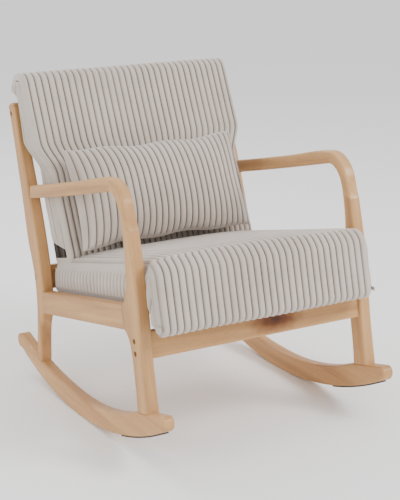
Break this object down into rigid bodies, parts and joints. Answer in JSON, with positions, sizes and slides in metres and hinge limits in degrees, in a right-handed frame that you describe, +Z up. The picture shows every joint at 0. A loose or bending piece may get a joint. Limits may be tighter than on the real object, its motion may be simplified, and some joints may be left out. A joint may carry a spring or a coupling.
{
  "type": "rocking chair",
  "caption": "Low upholstered rocking chair: wooden side frames with bent arms on curved rockers, ribbed corduroy seat and back cushions and a loose lumbar pillow.",
  "frame": {"origin": "on the floor, under the middle of the chair's overall box", "axes": "+Z up, +Y towards the rear (the back cushion), +X towards the sitter's left, seen from the front this is the right-hand side"},
  "size_m": [0.636, 0.8115, 0.8062],
  "materials": {
    "wood": "gloss",
    "corduroy": "matte",
    "foam": "matte",
    "strip": "matte",
    "steel": "satin"
  },
  "bodies": {
    "frame": {"rear_post_left": "wood", "rear_post_right": "wood", "front_leg_left": "wood", "front_leg_right": "wood", "arm_elbow_left": "wood", "arm_elbow_right": "wood", "armrest_left": "wood", "armrest_right": "wood", "side_rail_left": "wood", "side_rail_right": "wood", "rocker_left": "wood", "rocker_right": "wood", "antislip_strip_left": "strip", "antislip_strip_right": "strip", "front_rail": "wood", "rear_rail": "wood", "top_rail": "wood", "back_slat_1": "wood", "back_slat_2": "wood", "back_slat_3": "wood", "back_slat_4": "wood", "seat_slat_1": "wood", "seat_slat_2": "wood", "seat_slat_3": "wood", "seat_slat_4": "wood", "seat_slat_5": "wood", "seat_cleat_left": "wood", "seat_cleat_right": "wood", "connector_bolts": "steel", "barrel_nuts": "steel", "frame_dowels": "wood", "rail_dowels": "wood", "slat_screws": "steel", "cleat_screws": "steel"},
    "seat_cushion": {"seat_cushion_cover": "corduroy", "seat_cushion_filling": "foam"},
    "back_cushion": {"back_cushion_cover": "corduroy", "back_cushion_filling": "foam"},
    "lumbar_pillow": {"lumbar_pillow_cover": "corduroy", "lumbar_pillow_filling": "foam"}
  },
  "joints": [
    {"name": "seat_cushion_slides_out", "type": "slide", "parent": "frame", "child": "seat_cushion", "axis": [0, -0.9806, 0.1961], "range_m": [0, 0.6]},
    {"name": "back_cushion_lifts_off", "type": "slide", "parent": "frame", "child": "back_cushion", "axis": [0, 0.3048, 0.9524], "range_m": [0, 0.5]},
    {"name": "pillow_lifts_off", "type": "slide", "parent": "back_cushion", "child": "lumbar_pillow", "axis": [0, -0.9022, 0.4313], "range_m": [0, 0.25]}
  ]
}
